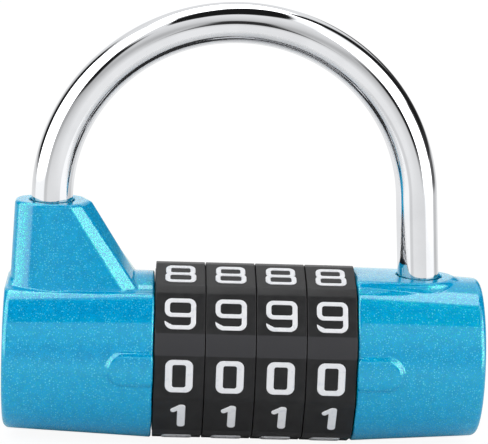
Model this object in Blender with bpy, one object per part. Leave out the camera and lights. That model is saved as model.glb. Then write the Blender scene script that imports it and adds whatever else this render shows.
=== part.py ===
"""Wide-shackle padlock with four number dials, built piece by piece in Blender.

The dials turn about the X axis, the shackle stands up along +Z and the numbers face -Y.
Pieces are modelled about the dial axis, with x = 0 midway between the shackle's two legs.
A parent empty then puts the inside of the shackle's crown, where the lock hangs, at the origin.
"""

import math

import bmesh
import bpy
from mathutils import Matrix, Vector

MM = 0.001

# Clearances shared by the pieces
CLEAR = 0.3 * MM  # between pieces that seat or run on each other
BAR_CLEAR = 0.5 * MM  # round the shackle's legs in their holes, and under the toe
FIN_FREE = 0.5 * MM  # past the flange when the bolt is drawn
TOE_FREE = 1.9 * MM  # above the boss when the shackle is raised
HEEL_COVER = 0.5 * MM  # bar left below the nose when the shackle is raised
OVERCUT = 2.0 * MM  # how far a cutter runs past the face it cuts

# Dials
DIAL_COUNT = 4
DIGIT_COUNT = 10
DIAL_WIDTH = 7.71 * MM
DIAL_RADIUS = 14.4 * MM  # to the rounded ridges between the numbers
RIDGE_ANGLE = math.radians(7.3)  # of the rounded ridge between two flats
NARROW_RIDGE = math.radians(2.0)  # between zero and one, where the zero's flat sits lower
FLATS_TURN = math.radians(-1.6)  # the flats sit this much above the sleeve's notches

# Left barrel with its flat land and its horn
LEFT_LENGTH = 23.87 * MM
LEFT_SET_IN = 0.15 * MM  # below the dials, at its dial face
LEFT_TAPER = 1.07 * MM  # loss of radius towards the end
LAND_DROP = 2.75 * MM  # barrel's radius down to the land
HEEL_TO_END = 7.135 * MM  # heel axis to the barrel's end face
HORN_RISE = 12.8 * MM  # land to the horn's top
HORN_OUTWARD = 5.9 * MM  # heel axis to the horn's outer side, at the top
HORN_INWARD = 6.2 * MM  # heel axis to the horn's inner side, at the top
HORN_FOOT = 8.1 * MM  # how far the sloping inner side runs out at the land
HORN_HALF_DEPTH = 5.0 * MM  # front to middle, at the top
HORN_DEPTH_DRAFT = 2.4 * MM  # widening of the front and back down to the land
HORN_SIDE_DRAFT = 0.45 * MM  # widening of the outer side down to the land
HORN_CORNER = 3.0 * MM  # radius of the two outer corners
HORN_FACET = 1.7 * MM  # beside the sloping inner side
HORN_BULGE = 1.2 * MM  # crown of the sloping inner side
HORN_EDGE = 0.7 * MM  # rounding of the top edge
HORN_ROOT = 3.0 * MM  # how far the horn runs down into the barrel

# Right barrel with the boss round its toe hole
RIGHT_LENGTH = 20.48 * MM
RIGHT_SET_IN = 0.33 * MM
RIGHT_TAPER = 1.28 * MM
TOE_FROM_DIALS = 9.505 * MM  # barrel's dial face to the arch's end above it
BOSS_DROP = 0.87 * MM  # barrel's radius down to the boss's top
BOSS_HALF_WIDTH = 5.7 * MM
BOSS_EDGE = 0.6 * MM
BOSS_ROOT = 4.0 * MM  # how far the boss runs down into the barrel
BULKHEAD = 4.0 * MM  # wall that the core nut clamps
CAP_THICK = 2.5 * MM
TOE_FLOOR = 0.9 * MM  # wall between the toe hole and the nut's chamber

# Forms that both barrels share
END_ROUND = 1.0 * MM
FACE_CHAMFER = 0.35 * MM  # edge beside the dials
TONGUE_LENGTH = 7.6 * MM
TONGUE_HEIGHT = 5.3 * MM
TONGUE_RAISE = 0.35 * MM

# Shackle
BAR_RADIUS = 3.325 * MM
ARCH_ABOVE_HORN = 0.6 * MM  # heel leg's straight stretch above the horn
ARCH_HEIGHT = 28.73 * MM  # rise of the bar's middle line, a little less than half its span
TOE_SPLAY = math.radians(3.6)  # short of a half turn, so that the toe leg leans outwards
NOTCH_DEPTH = 1.475 * MM  # in the heel, for the bolt's nose
TIP_CHAMFER = 0.7 * MM
PIN_RADIUS = 1.0 * MM
PIN_ABOVE_LAND = 4.5 * MM
PIN_BITE = 0.8 * MM  # how far the pin reaches into the bar
PIN_LENGTH = 10.6 * MM
PIN_RECESS = 0.4 * MM  # below the horn's back

# Core tube, bolt and sleeves, from the middle outwards
BOLT_RADIUS = 2.5 * MM
NOSE_HALF_HEIGHT = 1.5 * MM
NOSE_LENGTH = 2.6 * MM
BOLT_TAIL = 1.5 * MM  # past the core tube
SPIGOT_LENGTH = 1.6 * MM
TUBE_WALL = 1.7 * MM
TUBE_SEAT = 5.0 * MM  # length in the left barrel
TUBE_FLAT = 0.5 * MM  # depth of the flat that holds the washers
THREAD_RELIEF = 0.6 * MM  # step down to the nut's thread
NUT_WALL = 1.2 * MM
NUT_LENGTH = 3.0 * MM
NUT_SLOT = 1.4 * MM
FIN_REACH = 2.0 * MM  # beyond the core tube
FIN_WIDTH = 2.2 * MM
FIN_THICK = 0.8 * MM
FLANGE_THICK = 0.8 * MM
FLANGE_FROM_FACE = 4.0 * MM  # dial's left face to the sleeve's flange
POCKET_CLEAR = 0.5 * MM
SLEEVE_WALL = 2.0 * MM
KEY_HEIGHT = 0.7 * MM
KEY_WIDTH = 1.6 * MM

# Click washers
WASHER_THICK = 0.5 * MM
RIB_RADIUS = 0.7 * MM

# Bolt spring
SPRING_WIRE = 0.6 * MM
SPRING_RADIUS = 2.2 * MM  # to the middle of the wire
SPRING_TURNS = 6
POINTS_PER_TURN = 9

# Facets round a full turn
BARREL_SIDES = 56
BAR_SIDES = 20
ARCH_STEPS = 28
BORE_SIDES = 28
SLEEVE_SIDES = 40
ROD_SIDES = 12
CORNER_STEPS = 4

# Places along X, first from the heel axis, then from midway between the legs
dial_pitch = DIAL_WIDTH + CLEAR
heel_to_left_face = LEFT_LENGTH - HEEL_TO_END
heel_to_right_face = heel_to_left_face + CLEAR + DIAL_COUNT * dial_pitch
shackle_span = heel_to_right_face + TOE_FROM_DIALS
heel_x = -shackle_span / 2
left_end = heel_x - HEEL_TO_END
left_face = heel_x + heel_to_left_face
right_face = heel_x + heel_to_right_face
right_end = right_face + RIGHT_LENGTH
dial_starts = [left_face + CLEAR + n * dial_pitch for n in range(DIAL_COUNT)]

# Radii that follow from the dials inwards
left_radius = DIAL_RADIUS - LEFT_SET_IN
right_radius = DIAL_RADIUS - RIGHT_SET_IN

# Radii that follow from the middle outwards
tube_bore = BOLT_RADIUS + CLEAR
tube_radius = tube_bore + TUBE_WALL
thread_radius = tube_radius - THREAD_RELIEF
nut_bore = thread_radius + CLEAR
nut_radius = nut_bore + NUT_WALL
chamber_radius = nut_radius + CLEAR
fin_tip = tube_radius + FIN_REACH
pocket_radius = fin_tip + POCKET_CLEAR
sleeve_radius = pocket_radius + SLEEVE_WALL
dial_bore = sleeve_radius + CLEAR
key_radius = sleeve_radius + KEY_HEIGHT
bar_hole = BAR_RADIUS + BAR_CLEAR

# Heights above the dial axis, and travels
land = left_radius - LAND_DROP
boss_top = right_radius - BOSS_DROP
horn_top = land + HORN_RISE
pin_height = land + PIN_ABOVE_LAND
arch_foot = horn_top + ARCH_ABOVE_HORN
arch_half_span = shackle_span / 2
crown_inside = arch_foot + ARCH_HEIGHT - BAR_RADIUS
toe_hole_floor = chamber_radius + TOE_FLOOR
toe_tip = toe_hole_floor + BAR_CLEAR
lift = boss_top - toe_tip + TOE_FREE
bolt_travel = CLEAR + FIN_THICK + FLANGE_THICK + FIN_FREE
heel_tip = -(NOSE_HALF_HEIGHT + lift + HEEL_COVER)
heel_floor = heel_tip - CLEAR
nose_tip = heel_x + BAR_RADIUS - NOTCH_DEPTH + CLEAR
bolt_end = right_face + BULKHEAD + CLEAR + NUT_LENGTH + BOLT_TAIL
spring_start = bolt_end + CLEAR
spring_end = right_end - CAP_THICK - CLEAR

pin_below_top = (horn_top - pin_height) / HORN_RISE
pin_back = HORN_HALF_DEPTH + HORN_DEPTH_DRAFT * pin_below_top - PIN_RECESS
pin_front = pin_back - PIN_LENGTH

# Toe leg, straight on from where the arch ends
arch_end_x = arch_half_span * math.cos(TOE_SPLAY)
arch_end_z = arch_foot + ARCH_HEIGHT * math.sin(TOE_SPLAY)
toe_lean = math.atan2(arch_half_span * math.sin(TOE_SPLAY), ARCH_HEIGHT * math.cos(TOE_SPLAY))


def toe_x_at(height):
    """Middle of the leaning toe leg at a height above the dial axis."""
    return arch_end_x + (arch_end_z - height) * math.tan(toe_lean)


toe_hole_x = toe_x_at((boss_top + toe_tip) / 2)

# Directions across the dial axis, where angles run from +Y towards +Z
FRONT = math.pi
UP = math.pi / 2
digit_step = 2 * math.pi / DIGIT_COUNT


def clear_scene():
    for item in list(bpy.data.objects):
        bpy.data.objects.remove(item, do_unlink=True)


def make_material(name, colour, roughness, metallic):
    material = bpy.data.materials.new(name)
    material.use_nodes = True
    shader = material.node_tree.nodes["Principled BSDF"]
    shader.inputs["Base Color"].default_value = (*colour, 1.0)
    shader.inputs["Roughness"].default_value = roughness
    shader.inputs["Metallic"].default_value = metallic
    return material


def arc(centre, radius, start, end, steps):
    """Points of a circular arc, both ends included."""
    points = []
    for step in range(steps + 1):
        angle = start + (end - start) * step / steps
        points.append((centre[0] + radius * math.cos(angle), centre[1] + radius * math.sin(angle)))
    return points


def circle(radius, sides):
    """Corners of a round outline whose flats, not corners, are turned to the axes."""
    turn = 2 * math.pi / sides
    return [(radius * math.cos((n + 0.5) * turn), radius * math.sin((n + 0.5) * turn)) for n in range(sides)]


def close_mesh(bm):
    bmesh.ops.remove_doubles(bm, verts=bm.verts, dist=0.0005 * MM)
    bmesh.ops.recalc_face_normals(bm, faces=bm.faces)
    return bm


def loft(rings, bm=None):
    """A skin through rings of equally many points, closed by a face at each end."""
    bm = bm or bmesh.new()
    loops = [[bm.verts.new(point) for point in ring] for ring in rings]
    for lower, upper in zip(loops, loops[1:]):
        for n in range(len(lower)):
            after = (n + 1) % len(lower)
            bm.faces.new((lower[n], lower[after], upper[after], upper[n]))
    bm.faces.new(loops[0])
    bm.faces.new(loops[-1])
    return close_mesh(bm)


def prism_x(outline, start, end):
    """An outline of (y, z) points carried along X."""
    return loft([[(x, y, z) for y, z in outline] for x in (start, end)])


def prism_y(outline, start, end):
    """An outline of (x, z) points carried along Y."""
    return loft([[(x, y, z) for x, z in outline] for y in (start, end)])


def block(low, high):
    outline = [(low[0], low[2]), (high[0], low[2]), (high[0], high[2]), (low[0], high[2])]
    return prism_y(outline, low[1], high[1])


def turned(profile, sides):
    """A profile of (x, radius) points turned about the dial axis; a closed ring if it stays off the axis."""
    bm = bmesh.new()
    verts = [bm.verts.new((x, 0, radius)) for x, radius in profile]
    edges = [bm.edges.new(pair) for pair in zip(verts, verts[1:])]
    if min(radius for x, radius in profile) > 0:
        edges.append(bm.edges.new((verts[-1], verts[0])))
    turn = {"cent": (0, 0, 0), "axis": (1, 0, 0), "angle": 2 * math.pi}
    bmesh.ops.spin(bm, geom=verts + edges, steps=sides, use_duplicate=False, **turn)
    return close_mesh(bm)


def upright_cylinder(x, radius, bottom, top, sides):
    outline = circle(radius, sides)
    return loft([[(x + u, v, z) for u, v in outline] for z in (bottom, top)])


def add_object(name, bm, material, origin=(0, 0, 0)):
    """Stores a mesh as a named object whose own origin is at the given point."""
    mesh = bpy.data.meshes.new(name)
    bm.transform(Matrix.Translation(-Vector(origin)))
    bm.to_mesh(mesh)
    bm.free()
    mesh.shade_smooth()
    mesh.set_sharp_from_angle(angle=math.radians(35))
    mesh.materials.append(material)
    item = bpy.data.objects.new(name, mesh)
    item.location = origin
    item.parent = padlock
    bpy.context.scene.collection.objects.link(item)
    return item


def add_tool(name, bm):
    """A hidden shape that only serves another object's Boolean."""
    tool = add_object(name, bm, steel)
    tool.hide_render = True
    tool.display_type = "WIRE"
    return tool


def combine(item, bm, operation, label):
    modifier = item.modifiers.new(label, "BOOLEAN")
    modifier.operation = operation
    modifier.solver = "EXACT"
    modifier.object = add_tool(f"{item.name}.{label}", bm)
    return modifier.object


def edge_steps(top, edge):
    """Inset and height at each step over a rounded top edge."""
    return arc((edge, top - edge), edge, math.pi, math.pi / 2, CORNER_STEPS)


def rounded_block(outline_at, top, edge, bottom):
    """A block with upright sides whose top edge is rounded; outline_at gives the outline at an inset."""
    rings = [[(x, y, bottom) for x, y in outline_at(0)]]
    for inset, height in edge_steps(top, edge):
        rings.append([(x, y, height) for x, y in outline_at(inset)])
    return loft(rings)


def barrel_profile(end, face, end_radius, face_radius, raise_by=0.0):
    """Half section of a barrel from its outer end to its dial face; raise_by lifts the whole wall."""
    inward = 1 if face > end else -1
    corner = (end + inward * END_ROUND, end_radius + raise_by - END_ROUND)
    start = math.pi if inward > 0 else 0.0
    profile = [(end, 0)]
    profile += arc(corner, END_ROUND, start, math.pi / 2, CORNER_STEPS)
    profile.append((face - inward * FACE_CHAMFER, face_radius + raise_by))
    profile.append((face, face_radius + raise_by - FACE_CHAMFER))
    profile.append((face, 0))
    return profile


def tongue_outline(face, outward):
    """U-shaped index tongue beside the dials; its round end points away from them."""
    half = TONGUE_HEIGHT / 2
    root = face + outward * FACE_CHAMFER
    tip = face + outward * (TONGUE_LENGTH - half)
    bottom = -math.pi / 2
    round_end = arc((tip, 0), half, bottom, bottom + outward * math.pi, 2 * CORNER_STEPS)
    return [(root, -half), *round_end, (root, half)]


def add_barrel(name, end, face, end_radius, face_radius, flat_top):
    """The turned barrel, trimmed flat at a height, with its raised index tongue."""
    outward = 1 if end > face else -1
    profile = barrel_profile(end, face, end_radius, face_radius)
    barrel = add_object(name, turned(profile, BARREL_SIDES), blue_paint)
    reach = abs(end - face) + OVERCUT
    middle = (end + face) / 2
    sky = block((middle - reach, -face_radius, flat_top), (middle + reach, face_radius, face_radius + OVERCUT))
    combine(barrel, sky, "DIFFERENCE", "flat_top")
    tongue = prism_y(tongue_outline(face, outward), -face_radius - OVERCUT, OVERCUT - end_radius)
    tongue_tool = combine(barrel, tongue, "UNION", "tongue")
    raised = turned(barrel_profile(end, face, end_radius, face_radius, TONGUE_RAISE), BARREL_SIDES)
    combine(tongue_tool, raised, "INTERSECT", "skin")
    return barrel


def horn_ring(height, inset):
    """Outline of the horn at a height above the dial axis, drawn in by an inset."""
    below = (horn_top - height) / HORN_RISE
    outer = heel_x - HORN_OUTWARD - HORN_SIDE_DRAFT * below + inset
    inner = heel_x + HORN_INWARD + HORN_FOOT * below - inset
    half = HORN_HALF_DEPTH + HORN_DEPTH_DRAFT * below - inset
    corner = HORN_CORNER - inset / 2
    edge = half - HORN_FACET
    ring = arc((outer + corner, -half + corner), corner, math.pi, 1.5 * math.pi, CORNER_STEPS)
    ring.append((inner - HORN_BULGE - HORN_FACET, -half))
    for share in (-1, -0.5, 0, 0.5, 1):
        ring.append((inner - HORN_BULGE * share ** 2, edge * share))
    ring.append((inner - HORN_BULGE - HORN_FACET, half))
    ring += arc((outer + corner, half - corner), corner, 0.5 * math.pi, math.pi, CORNER_STEPS)
    return [(x, y, height) for x, y in ring]


def make_left_housing():
    end_radius = left_radius - LEFT_TAPER
    housing = add_barrel("left_housing", left_end, left_face, end_radius, left_radius, land)
    rings = [horn_ring(land - HORN_ROOT, 0)]
    for inset, height in edge_steps(horn_top, HORN_EDGE):
        rings.append(horn_ring(height, inset))
    combine(housing, loft(rings), "UNION", "horn")
    heel_hole = upright_cylinder(heel_x, bar_hole, heel_floor, horn_top + OVERCUT, BORE_SIDES)
    combine(housing, heel_hole, "DIFFERENCE", "heel_hole")
    seat = left_face - TUBE_SEAT - CLEAR
    guide = [(heel_x, 0), (heel_x, tube_bore), (seat, tube_bore), (seat, tube_radius + CLEAR)]
    guide += [(left_face + OVERCUT, tube_radius + CLEAR), (left_face + OVERCUT, 0)]
    combine(housing, turned(guide, BORE_SIDES), "DIFFERENCE", "tube_seat")
    pin_hole = pin_rod(PIN_RADIUS + CLEAR, pin_front - CLEAR, pin_back + OVERCUT)
    combine(housing, pin_hole, "DIFFERENCE", "pin_hole")
    return housing


def make_right_housing():
    end_radius = right_radius - RIGHT_TAPER
    housing = add_barrel("right_housing", right_end, right_face, end_radius, right_radius, boss_top)

    def boss_outline(inset):
        half = BOSS_HALF_WIDTH - inset
        inner = right_face + FACE_CHAMFER
        outline = [(inner, -half)]
        outline += arc((toe_hole_x, 0), half, -math.pi / 2, math.pi / 2, 3 * CORNER_STEPS)
        outline.append((inner, half))
        return outline

    boss = rounded_block(boss_outline, boss_top, BOSS_EDGE, boss_top - BOSS_ROOT)
    combine(housing, boss, "UNION", "boss")
    toe_hole = upright_cylinder(toe_hole_x, bar_hole, toe_hole_floor, boss_top + OVERCUT, BORE_SIDES)
    combine(housing, toe_hole, "DIFFERENCE", "toe_hole")
    inner = right_face + BULKHEAD
    chamber = [(right_face - OVERCUT, 0), (right_face - OVERCUT, nut_bore), (inner, nut_bore)]
    chamber += [(inner, chamber_radius), (right_end + OVERCUT, chamber_radius), (right_end + OVERCUT, 0)]
    combine(housing, turned(chamber, BORE_SIDES), "DIFFERENCE", "nut_chamber")
    return housing


def make_right_end_cap():
    rim = right_end - FACE_CHAMFER
    radius = chamber_radius - CLEAR
    inner = right_end - CAP_THICK
    profile = [(inner, 0), (inner, radius), (rim, radius), (right_end, radius - FACE_CHAMFER), (right_end, 0)]
    return add_object("right_end_cap", turned(profile, BORE_SIDES), blue_paint)


def pin_rod(radius, front, back):
    """A rod along Y beside the heel, at the height of the retaining pin."""
    pin_x = heel_x - BAR_RADIUS + PIN_BITE - PIN_RADIUS
    return prism_y([(pin_x + u, pin_height + v) for u, v in circle(radius, BAR_SIDES)], front, back)


def make_heel_pin():
    return add_object("heel_pin", pin_rod(PIN_RADIUS, pin_front, pin_back), steel)


def shackle_rings():
    """Round sections along the bar: up the heel leg, over the arch and down the toe leg."""
    stations = [((heel_x, heel_tip), (1, 0), BAR_RADIUS - TIP_CHAMFER)]
    stations.append(((heel_x, heel_tip + TIP_CHAMFER), (1, 0), BAR_RADIUS))
    for step in range(ARCH_STEPS + 1):
        angle = math.pi + (TOE_SPLAY - math.pi) * step / ARCH_STEPS
        centre = (arch_half_span * math.cos(angle), arch_foot + ARCH_HEIGHT * math.sin(angle))
        inward = Vector((-ARCH_HEIGHT * math.cos(angle), -arch_half_span * math.sin(angle))).normalized()
        stations.append((centre, inward, BAR_RADIUS))
    leg_inward = (-math.cos(toe_lean), -math.sin(toe_lean))
    chamfer_height = toe_tip + TIP_CHAMFER
    stations.append(((toe_x_at(chamfer_height), chamfer_height), leg_inward, BAR_RADIUS))
    stations.append(((toe_x_at(toe_tip), toe_tip), leg_inward, BAR_RADIUS - TIP_CHAMFER))
    rings = []
    for (x, z), (across_x, across_z), radius in stations:
        ring = [(x + u * across_x, v, z + u * across_z) for u, v in circle(radius, BAR_SIDES)]
        rings.append(ring)
    return rings


def make_shackle():
    shackle = add_object("shackle", loft(shackle_rings()), chrome, (heel_x, 0, 0))
    reach = BAR_RADIUS + OVERCUT
    floor = heel_x + BAR_RADIUS - NOTCH_DEPTH
    notch_half = NOSE_HALF_HEIGHT + CLEAR
    flank = lift / bolt_travel
    outside = NOTCH_DEPTH + OVERCUT
    notch = [(floor, -notch_half), (floor + outside, -notch_half - outside * flank)]
    notch += [(floor + outside, notch_half), (floor, notch_half)]
    combine(shackle, prism_y(notch, -reach, reach), "DIFFERENCE", "bolt_notch")
    pin_half = PIN_RADIUS + CLEAR
    raised_pin = pin_height - lift
    neck = BAR_RADIUS - PIN_BITE - CLEAR
    low = raised_pin - pin_half
    flat = block((heel_x - reach, -reach, low), (heel_x - neck, reach, pin_height + pin_half))
    combine(shackle, flat, "DIFFERENCE", "pin_flat")
    high = raised_pin + pin_half
    groove = turned([(low, neck), (low, reach), (high, reach), (high, neck)], BAR_SIDES)
    groove.transform(Matrix.Translation((heel_x, 0, 0)) @ Matrix.Rotation(-math.pi / 2, 4, "Y"))
    combine(shackle, groove, "DIFFERENCE", "swivel_groove")
    return shackle


def make_core_tube():
    start = left_face - TUBE_SEAT
    shoulder = right_face - CLEAR
    end = right_face + BULKHEAD + CLEAR + NUT_LENGTH
    profile = [(start, tube_bore), (start, tube_radius), (shoulder, tube_radius), (shoulder, thread_radius)]
    profile += [(end, thread_radius), (end, tube_bore)]
    tube = add_object("core_tube", turned(profile, BORE_SIDES), brass)
    slot_half = FIN_WIDTH / 2 + CLEAR
    slot_start = dial_starts[0] + WASHER_THICK
    slot = block((slot_start, -slot_half, -tube_radius - OVERCUT), (end + OVERCUT, slot_half, 0))
    combine(tube, slot, "DIFFERENCE", "fin_slot")
    top = tube_radius - TUBE_FLAT
    flat = block((left_face, -tube_radius, top), (shoulder + OVERCUT, tube_radius, tube_radius + OVERCUT))
    combine(tube, flat, "DIFFERENCE", "washer_flat")
    return tube


def make_core_nut():
    start = right_face + BULKHEAD + CLEAR
    end = start + NUT_LENGTH
    profile = [(start, nut_bore), (start, nut_radius), (end, nut_radius), (end, nut_bore)]
    nut = add_object("core_nut", turned(profile, BORE_SIDES), brass)
    half = NUT_SLOT / 2
    slot = block((end - NUT_SLOT, -nut_radius - OVERCUT, -half), (end + OVERCUT, nut_radius + OVERCUT, half))
    combine(nut, slot, "DIFFERENCE", "spanner_slot")
    return nut


def make_locking_bolt():
    spigot = SPRING_RADIUS - SPRING_WIRE / 2 - CLEAR
    profile = [(nose_tip, 0), (nose_tip, BOLT_RADIUS), (bolt_end, BOLT_RADIUS), (bolt_end, spigot)]
    profile += [(bolt_end + SPIGOT_LENGTH, spigot), (bolt_end + SPIGOT_LENGTH, 0)]
    bolt = add_object("locking_bolt", turned(profile, BORE_SIDES), steel)
    nose_end = nose_tip + NOSE_LENGTH
    for side, label in ((1, "nose_top"), (-1, "nose_bottom")):
        heights = sorted((side * NOSE_HALF_HEIGHT, side * (BOLT_RADIUS + OVERCUT)))
        reach = BOLT_RADIUS + OVERCUT
        cheek = block((nose_tip - OVERCUT, -reach, heights[0]), (nose_end, reach, heights[1]))
        combine(bolt, cheek, "DIFFERENCE", label)
    for n, dial_start in enumerate(dial_starts):
        fin_end = dial_start + FLANGE_FROM_FACE - CLEAR
        fin = block((fin_end - FIN_THICK, -FIN_WIDTH / 2, -fin_tip), (fin_end, FIN_WIDTH / 2, 0))
        combine(bolt, fin, "UNION", f"fin_{n + 1}")
    return bolt


def dial_outline():
    """Ten flats round the dial, joined by short arcs of its full radius."""
    half_flat = (digit_step - RIDGE_ANGLE) / 2
    middles = [FRONT + FLATS_TURN + n * digit_step for n in range(DIGIT_COUNT)]
    middles[0] += RIDGE_ANGLE - NARROW_RIDGE
    outline = []
    for middle, following in zip(middles, middles[1:] + [middles[0] + 2 * math.pi]):
        outline += arc((0, 0), DIAL_RADIUS, middle + half_flat, following - half_flat, 2)
    return outline


def bore_outline(radius, notch_radius, notch_half):
    """Round bore with ten key notches, one for each number."""
    inner = math.asin(notch_half / radius)
    outer = math.asin(notch_half / notch_radius)
    outline = []
    for n in range(DIGIT_COUNT):
        middle = UP + n * digit_step
        outline += arc((0, 0), notch_radius, middle - outer, middle + outer, 1)
        outline += arc((0, 0), radius, middle + inner, middle + digit_step - inner, 3)
    return outline


def make_dial(number, start):
    end = start + DIAL_WIDTH
    dial = add_object(f"dial_{number}", prism_x(dial_outline(), start, end), black_plastic, (start, 0, 0))
    bore = bore_outline(dial_bore, key_radius + CLEAR, KEY_WIDTH / 2 + CLEAR)
    combine(dial, prism_x(bore, start - OVERCUT, end + OVERCUT), "DIFFERENCE", "bore")
    return dial


def radial_rods(x, radius, angles, inner, outer):
    """Round rods that point away from the dial axis, one at each angle."""
    along = Vector((1, 0, 0))
    bm = bmesh.new()
    for angle in angles:
        away = Vector((0, math.cos(angle), math.sin(angle)))
        across = along.cross(away)
        rings = []
        for reach in (inner, outer):
            centre = along * x + away * reach
            rings.append([centre + along * u + across * v for u, v in circle(radius, ROD_SIDES)])
        loft(rings, bm)
    return bm


def make_code_sleeve(number, dial_start):
    start = dial_start + WASHER_THICK + CLEAR
    end = dial_start + DIAL_WIDTH
    flange = dial_start + FLANGE_FROM_FACE
    flange_end = flange + FLANGE_THICK
    flange_bore = tube_radius + CLEAR
    profile = [(start, pocket_radius), (start, sleeve_radius), (end, sleeve_radius), (end, pocket_radius)]
    profile += [(flange_end, pocket_radius), (flange_end, flange_bore)]
    profile += [(flange, flange_bore), (flange, pocket_radius)]
    sleeve = add_object(f"code_sleeve_{number}", turned(profile, SLEEVE_SIDES), brass, (dial_start, 0, 0))
    gate_half = FIN_WIDTH / 2 + CLEAR
    gate = block((flange - CLEAR, -gate_half, -fin_tip - CLEAR), (flange_end + CLEAR, gate_half, 0))
    combine(sleeve, gate, "DIFFERENCE", "gate")
    key = block((start, -KEY_WIDTH / 2, sleeve_radius - SLEEVE_WALL / 2), (end, KEY_WIDTH / 2, key_radius))
    combine(sleeve, key, "UNION", "key")
    angles = [UP + n * digit_step for n in range(DIGIT_COUNT)]
    rods = radial_rods(start - CLEAR, RIB_RADIUS + CLEAR, angles, pocket_radius - CLEAR, key_radius + CLEAR)
    combine(sleeve, rods, "DIFFERENCE", "click_notches")
    return sleeve


def make_click_washer(number, dial_start):
    end = dial_start + WASHER_THICK
    outline = circle(sleeve_radius, SLEEVE_SIDES)
    washer = add_object(f"click_washer_{number}", prism_x(outline, dial_start, end), steel)
    bore_radius = tube_radius + CLEAR
    chord = tube_radius - TUBE_FLAT + CLEAR
    half = math.acos(chord / bore_radius)
    bore = arc((0, 0), bore_radius, UP + half, UP + 2 * math.pi - half, BORE_SIDES)
    combine(washer, prism_x(bore, dial_start - OVERCUT, end + OVERCUT), "DIFFERENCE", "d_bore")
    notch_half = FIN_WIDTH / 2 + CLEAR
    notch = block((dial_start - OVERCUT, -notch_half, -fin_tip - CLEAR), (end + OVERCUT, notch_half, 0))
    combine(washer, notch, "DIFFERENCE", "fin_notch")
    rib = radial_rods(end, RIB_RADIUS, [UP], pocket_radius + CLEAR, sleeve_radius - CLEAR)
    rib_tool = combine(washer, rib, "UNION", "rib")
    middle = dial_start + WASHER_THICK / 2
    raised_side = block((middle, -sleeve_radius, 0), (end + RIB_RADIUS + OVERCUT, sleeve_radius, key_radius))
    combine(rib_tool, raised_side, "INTERSECT", "raised_side")
    return washer


def make_bolt_spring():
    """A coil along X as one unbroken tube; prints the least gap between its turns."""
    count = SPRING_TURNS * POINTS_PER_TURN
    first = spring_start + SPRING_WIRE / 2
    length = spring_end - spring_start - SPRING_WIRE
    points = []
    for n in range(count + 1):
        angle = 2 * math.pi * n / POINTS_PER_TURN
        along = first + length * n / count
        points.append(Vector((along, SPRING_RADIUS * math.cos(angle), SPRING_RADIUS * math.sin(angle))))
    curve = bpy.data.curves.new("bolt_spring", "CURVE")
    curve.dimensions = "3D"
    curve.bevel_depth = SPRING_WIRE / 2
    curve.bevel_resolution = 1
    curve.use_fill_caps = True
    spline = curve.splines.new("POLY")
    spline.points.add(count)
    for target, point in zip(spline.points, points):
        target.co = (*point, 1.0)
    curve.materials.append(steel)
    spring = bpy.data.objects.new("bolt_spring", curve)
    spring.parent = padlock
    bpy.context.scene.collection.objects.link(spring)
    apart = POINTS_PER_TURN // 2
    gaps = [(points[n] - other).length for n in range(count + 1) for other in points[n + apart:]]
    print(f"bolt_spring least gap to itself: {(min(gaps) - SPRING_WIRE) / MM:.2f} mm")
    return spring


clear_scene()
padlock = bpy.data.objects.new("padlock", None)
padlock.location = (0, 0, -crown_inside)
bpy.context.scene.collection.objects.link(padlock)

blue_paint = make_material("blue_paint", (0.025, 0.352, 0.645), 0.35, 0.3)
chrome = make_material("chrome", (0.85, 0.85, 0.87), 0.08, 1.0)
black_plastic = make_material("black_plastic", (0.012, 0.012, 0.014), 0.45, 0.0)
brass = make_material("brass", (0.62, 0.45, 0.18), 0.35, 1.0)
steel = make_material("steel", (0.55, 0.56, 0.58), 0.35, 1.0)

make_left_housing()
make_right_housing()
make_right_end_cap()
make_shackle()
make_heel_pin()
make_core_tube()
make_core_nut()
make_locking_bolt()
make_bolt_spring()
for dial_number, dial_start_x in enumerate(dial_starts, 1):
    make_dial(dial_number, dial_start_x)
    make_code_sleeve(dial_number, dial_start_x)
    make_click_washer(dial_number, dial_start_x)
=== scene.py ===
import math

import bpy
import numpy as np
from mathutils import Matrix, Vector


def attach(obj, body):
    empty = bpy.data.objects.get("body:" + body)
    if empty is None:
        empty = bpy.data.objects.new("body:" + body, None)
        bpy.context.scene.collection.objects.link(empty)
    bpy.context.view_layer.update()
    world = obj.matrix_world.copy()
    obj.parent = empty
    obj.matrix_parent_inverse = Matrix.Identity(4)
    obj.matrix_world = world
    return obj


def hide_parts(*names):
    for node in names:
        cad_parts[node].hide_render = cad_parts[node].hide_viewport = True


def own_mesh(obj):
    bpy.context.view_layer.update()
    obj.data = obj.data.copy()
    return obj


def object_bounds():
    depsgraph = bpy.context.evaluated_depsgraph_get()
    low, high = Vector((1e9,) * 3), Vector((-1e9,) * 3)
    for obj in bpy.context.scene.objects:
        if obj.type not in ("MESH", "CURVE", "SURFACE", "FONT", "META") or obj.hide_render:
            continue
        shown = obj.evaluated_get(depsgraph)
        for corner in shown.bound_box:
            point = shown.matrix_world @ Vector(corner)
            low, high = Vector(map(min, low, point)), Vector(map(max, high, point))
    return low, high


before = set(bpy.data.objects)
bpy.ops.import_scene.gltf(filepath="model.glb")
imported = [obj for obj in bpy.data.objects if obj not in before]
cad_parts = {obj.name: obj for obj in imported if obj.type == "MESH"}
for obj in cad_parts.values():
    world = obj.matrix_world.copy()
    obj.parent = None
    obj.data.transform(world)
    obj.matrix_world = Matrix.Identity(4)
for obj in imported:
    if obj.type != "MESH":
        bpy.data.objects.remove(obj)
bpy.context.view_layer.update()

# Lengths below are millimetres about the dial axis, with x = 0 under the middle of the shackle's arch.
# place() turns them into the frame's metres, where the inside of the shackle's crown is the origin.
axisDrop = 50.305
millimetre = 0.001
inDegrees = 180 / math.pi


def place(points):
    return (np.asarray(points, float) - (0, 0, axisDrop)) * millimetre


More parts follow.
